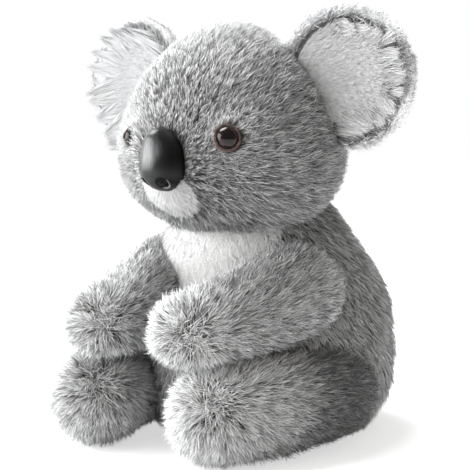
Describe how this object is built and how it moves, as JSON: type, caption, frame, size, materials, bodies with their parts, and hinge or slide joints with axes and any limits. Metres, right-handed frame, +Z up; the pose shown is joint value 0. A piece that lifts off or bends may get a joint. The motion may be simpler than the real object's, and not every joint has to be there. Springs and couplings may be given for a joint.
{
  "type": "plush koala",
  "caption": "Seated stuffed koala with long grey pile, a white bib and ear linings, a moulded nose and domed eyes; head, ears, arms and legs move.",
  "frame": {"origin": "on the floor, under the seat of the torso", "axes": "+Z up, the koala faces -Y, its left side is +X"},
  "size_m": [0.2352, 0.2195, 0.254],
  "materials": {
    "grey_fur": "long brushed pile",
    "dark_grey_fur": "long brushed pile",
    "white_pile": "soft white pile",
    "charcoal_plastic": "satin",
    "eye_plastic": "polished",
    "suede": "brushed suede",
    "fibre": "loose polyester fibre",
    "pouch_cloth": "plain weave",
    "white_plastic": "moulded"
  },
  "bodies": {
    "torso": {"torso_skin": "grey_fur", "chest_bib": "white_pile", "bean_pouch": "pouch_cloth", "torso_stuffing": "fibre"},
    "neck": {"neck_stuffing": "fibre"},
    "head": {"head_skin": "grey_fur", "chin_patch": "white_pile", "head_stuffing": "fibre", "nose": "charcoal_plastic", "nose_washer": "white_plastic", "eye_left": "eye_plastic", "eye_right": "eye_plastic", "eye_ring_left": "suede", "eye_ring_right": "suede", "eye_washer_left": "white_plastic", "eye_washer_right": "white_plastic"},
    "ear_left": {"ear_back_left": "dark_grey_fur", "ear_lining_left": "white_pile"},
    "arm_left": {"arm_skin_left": "grey_fur", "arm_stuffing_left": "fibre"},
    "leg_left": {"leg_skin_left": "grey_fur", "leg_stuffing_left": "fibre"},
    "ear_right": {"ear_back_right": "dark_grey_fur", "ear_lining_right": "white_pile"},
    "arm_right": {"arm_skin_right": "grey_fur", "arm_stuffing_right": "fibre"},
    "leg_right": {"leg_skin_right": "grey_fur", "leg_stuffing_right": "fibre"}
  },
  "joints": [
    {"name": "neck_turn", "type": "hinge", "parent": "torso", "child": "neck", "pos_m": [0, 0.014, 0.15], "axis": [0, 0, 1], "range_deg": [-25, 25], "stiffness_Nm_per_rad": 0.6},
    {"name": "neck_nod", "type": "hinge", "parent": "neck", "child": "head", "pos_m": [0, 0.014, 0.15], "axis": [-1, 0, 0], "range_deg": [-5, 5], "stiffness_Nm_per_rad": 1.5},
    {"name": "ear_fold_left", "type": "hinge", "parent": "head", "child": "ear_left", "pos_m": [0.056, -0.01, 0.213], "axis": [0, 0, 1], "range_deg": [-20, 20], "stiffness_Nm_per_rad": 0.05},
    {"name": "arm_raise_left", "type": "hinge", "parent": "torso", "child": "arm_left", "pos_m": [0.047, 0.004, 0.098], "axis": [-1, 0, 0], "range_deg": [0, 12], "stiffness_Nm_per_rad": 0.5},
    {"name": "leg_splay_left", "type": "hinge", "parent": "torso", "child": "leg_left", "pos_m": [0.056, 0.02, 0.034], "axis": [0, 0, 1], "range_deg": [0, 15], "stiffness_Nm_per_rad": 0.6},
    {"name": "ear_fold_right", "type": "hinge", "parent": "head", "child": "ear_right", "pos_m": [-0.056, -0.01, 0.213], "axis": [0, 0, 1], "range_deg": [-20, 20], "stiffness_Nm_per_rad": 0.05},
    {"name": "arm_raise_right", "type": "hinge", "parent": "torso", "child": "arm_right", "pos_m": [-0.047, 0.004, 0.098], "axis": [-1, 0, 0], "range_deg": [0, 12], "stiffness_Nm_per_rad": 0.5},
    {"name": "leg_splay_right", "type": "hinge", "parent": "torso", "child": "leg_right", "pos_m": [-0.056, 0.02, 0.034], "axis": [0, 0, -1], "range_deg": [0, 15], "stiffness_Nm_per_rad": 0.6}
  ]
}
